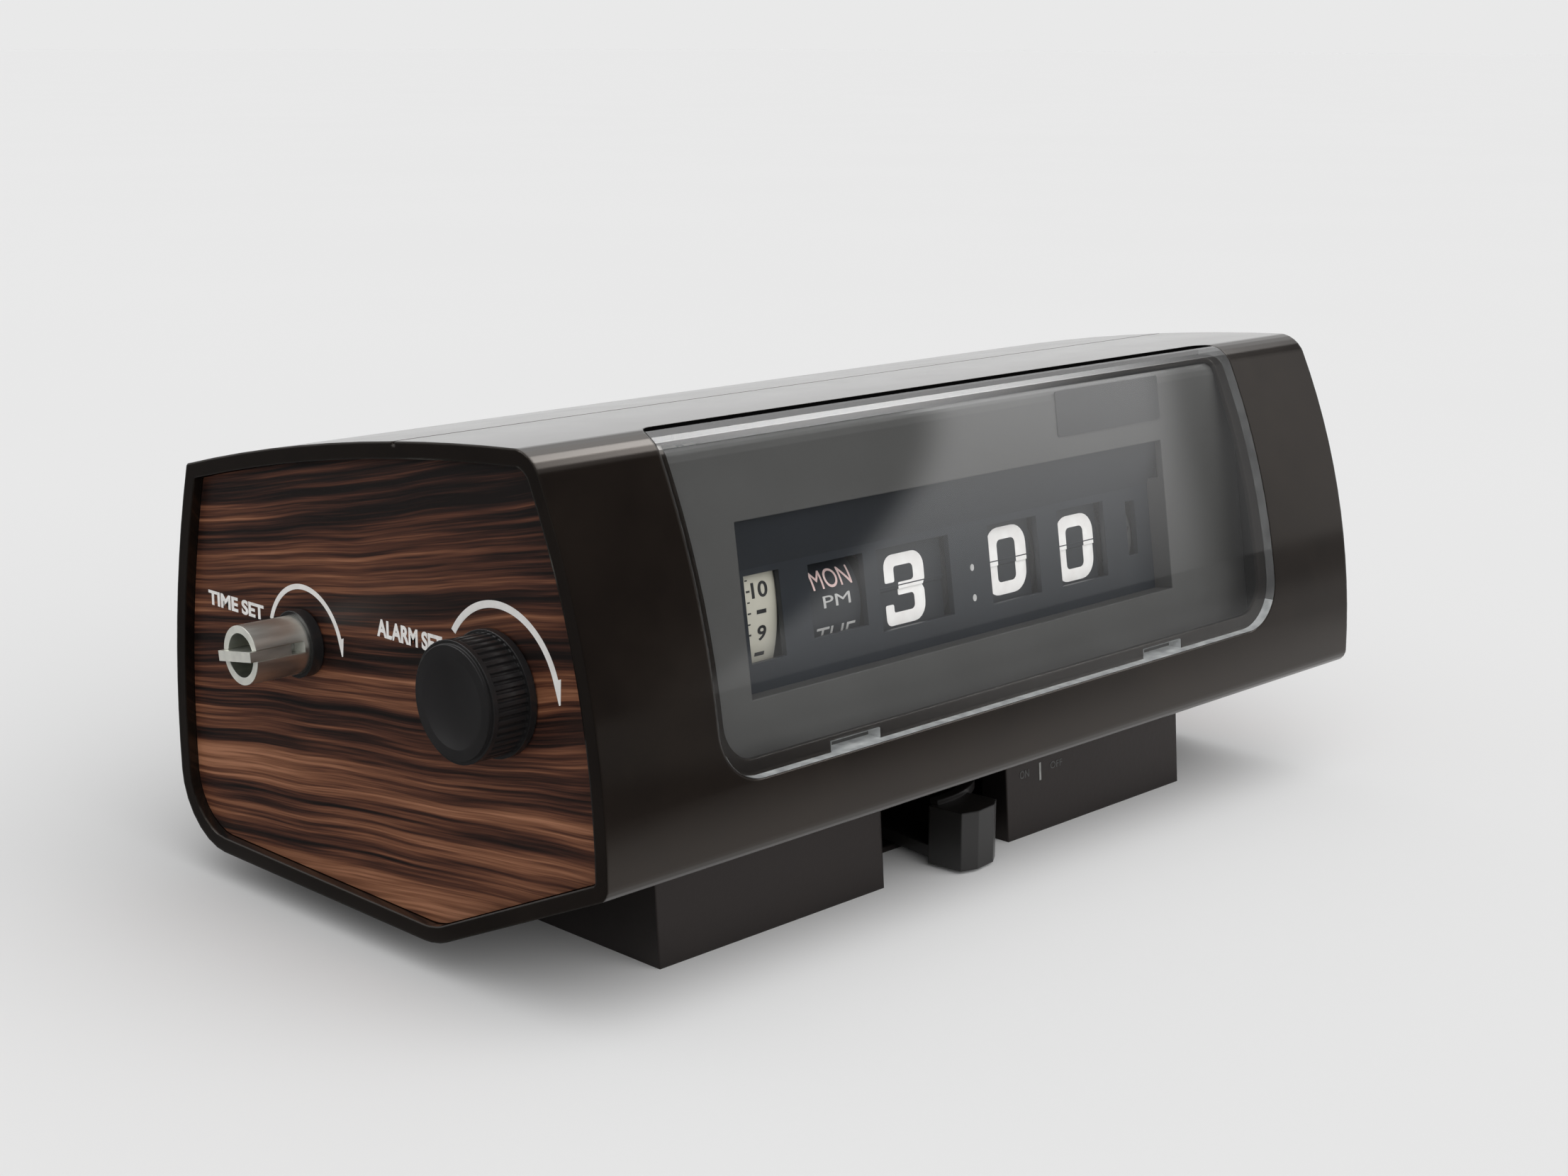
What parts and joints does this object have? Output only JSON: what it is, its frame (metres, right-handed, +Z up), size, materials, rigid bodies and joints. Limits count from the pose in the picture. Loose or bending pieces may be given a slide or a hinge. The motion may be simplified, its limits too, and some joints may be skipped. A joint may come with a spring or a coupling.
{
  "type": "flip clock",
  "caption": "Table flip clock: long sleeve case on a base block, wood end panels, wrap-over clear lens, falling-leaf display, day and alarm drums, side controls and an alarm lever.",
  "frame": {"origin": "middle of the base's footprint, on the table", "axes": "+X along the case to the right seen from the front, -Y out of the display, +Z up"},
  "size_m": [0.2332, 0.1316, 0.0988],
  "materials": {
    "case_plastic": "polished moulding",
    "wood_panel": "satin wood grain",
    "clear_lens": "clear moulding",
    "fascia_grey": "satin",
    "mask_black": "satin",
    "base_plastic": "fine matt",
    "knob_black": "polished",
    "chrome": "bright plated",
    "steel": "drawn",
    "brass": "turned",
    "ivory": "satin",
    "leaf": "satin sheet",
    "hub_grey": "moulded",
    "motor_can": "drawn can",
    "coil": "enamel",
    "gland": "matt"
  },
  "bodies": {
    "case": {"case_shell": "case_plastic", "left_end_panel": "wood_panel", "right_end_panel": "wood_panel", "lens": "clear_lens", "fascia": "fascia_grey", "display_mask": "mask_black", "base_block": "base_plastic", "base_screws": "steel", "lever_pin": "steel", "left_plate": "steel", "right_plate": "steel", "tie_rods": "brass", "main_arbor": "steel", "hour_leaves": "leaf", "tens_leaves": "leaf", "units_leaves": "leaf", "idler_stud": "steel", "alarm_stud": "steel", "motor": "motor_can", "pawl_shaft": "steel", "buzzer": "coil", "cord_gland": "gland"},
    "lever": {"alarm_lever": "knob_black"},
    "hours": {"hour_hub": "hub_grey"},
    "tens": {"tens_hub": "hub_grey"},
    "units": {"units_hub": "hub_grey", "run_drum": "ivory"},
    "days": {"day_drum": "leaf"},
    "hour_leaf": {"hour_flip_leaf": "leaf"},
    "tens_leaf": {"tens_flip_leaf": "leaf"},
    "units_leaf": {"units_flip_leaf": "leaf"},
    "alarm_set": {"alarm_knob": "knob_black", "alarm_shaft": "steel", "alarm_pinion": "brass"},
    "alarm_dial": {"alarm_drum": "ivory"},
    "time_set": {"time_sleeve": "chrome", "time_tongue": "chrome", "time_collar": "knob_black", "time_shaft": "steel", "setting_wheel": "brass"},
    "idler": {"idler_wheel": "brass"},
    "pinion": {"motor_pinion": "brass"},
    "day_carry": {"day_pawl": "brass"},
    "hour_carry": {"hour_pawl": "brass"},
    "tens_carry": {"tens_pawl": "brass"}
  },
  "joints": [
    {"name": "time_set_turn", "type": "hinge", "parent": "case", "child": "time_set", "pos_m": [-0.115, 0.02534, 0.05421], "axis": [1, 0, 0], "continuous": true},
    {"name": "alarm_set_turn", "type": "hinge", "parent": "case", "child": "alarm_set", "pos_m": [-0.112, -0.0313, 0.0559], "axis": [1, 0, 0], "continuous": true},
    {"name": "alarm_dial_turn", "type": "hinge", "parent": "case", "child": "alarm_dial", "pos_m": [-0.05645, -0.01129, 0.06119], "axis": [1, 0, 0], "continuous": true},
    {"name": "units_turn", "type": "hinge", "parent": "case", "child": "units", "pos_m": [0.035, -0.03052, 0.05935], "axis": [1, 0, 0], "continuous": true},
    {"name": "tens_turn", "type": "hinge", "parent": "case", "child": "tens", "pos_m": [0.0131, -0.03052, 0.05935], "axis": [1, 0, 0], "continuous": true},
    {"name": "hours_turn", "type": "hinge", "parent": "case", "child": "hours", "pos_m": [-0.0164, -0.03052, 0.05935], "axis": [1, 0, 0], "continuous": true},
    {"name": "days_turn", "type": "hinge", "parent": "case", "child": "days", "pos_m": [-0.0377, -0.03052, 0.05935], "axis": [1, 0, 0], "continuous": true},
    {"name": "pinion_turn", "type": "hinge", "parent": "case", "child": "pinion", "pos_m": [0.045, -0.02338, 0.04684], "axis": [1, 0, 0], "continuous": true},
    {"name": "idler_turn", "type": "hinge", "parent": "case", "child": "idler", "pos_m": [0.045, -0.00483, 0.05698], "axis": [1, 0, 0], "continuous": true},
    {"name": "hour_leaf_fall", "type": "hinge", "parent": "case", "child": "hour_leaf", "pos_m": [-0.0164, -0.04147, 0.06172], "axis": [1, 0, 0], "range_deg": [0, 172]},
    {"name": "tens_leaf_fall", "type": "hinge", "parent": "case", "child": "tens_leaf", "pos_m": [0.0131, -0.04141, 0.06196], "axis": [1, 0, 0], "range_deg": [0, 172]},
    {"name": "units_leaf_fall", "type": "hinge", "parent": "case", "child": "units_leaf", "pos_m": [0.035, -0.04144, 0.06186], "axis": [1, 0, 0], "range_deg": [0, 172]},
    {"name": "day_carry_swing", "type": "hinge", "parent": "case", "child": "day_carry", "pos_m": [-0.0461, -0.02791, 0.03621], "axis": [1, 0, 0], "range_deg": [-12, 12], "stiffness_Nm_per_rad": 0.001},
    {"name": "hour_carry_swing", "type": "hinge", "parent": "case", "child": "hour_carry", "pos_m": [-0.0271, -0.02791, 0.03621], "axis": [1, 0, 0], "range_deg": [-12, 12], "stiffness_Nm_per_rad": 0.001},
    {"name": "tens_carry_swing", "type": "hinge", "parent": "case", "child": "tens_carry", "pos_m": [0.005, -0.02791, 0.03621], "axis": [1, 0, 0], "range_deg": [-12, 12], "stiffness_Nm_per_rad": 0.001},
    {"name": "lever_swing", "type": "hinge", "parent": "case", "child": "lever", "pos_m": [0, -0.014, 0.003], "axis": [0, 0, 1], "range_deg": [-28, 0]}
  ],
  "couplings": [
    {"joint": "units_turn", "follows": "time_set_turn", "ratio": 1.4167},
    {"joint": "tens_turn", "follows": "time_set_turn", "ratio": 0.15741},
    {"joint": "hours_turn", "follows": "time_set_turn", "ratio": 0.019676},
    {"joint": "days_turn", "follows": "time_set_turn", "ratio": 0.0056217},
    {"joint": "pinion_turn", "follows": "time_set_turn", "ratio": -4.25},
    {"joint": "idler_turn", "follows": "time_set_turn", "ratio": -1.02},
    {"joint": "alarm_dial_turn", "follows": "alarm_set_turn", "ratio": 0.2069}
  ]
}
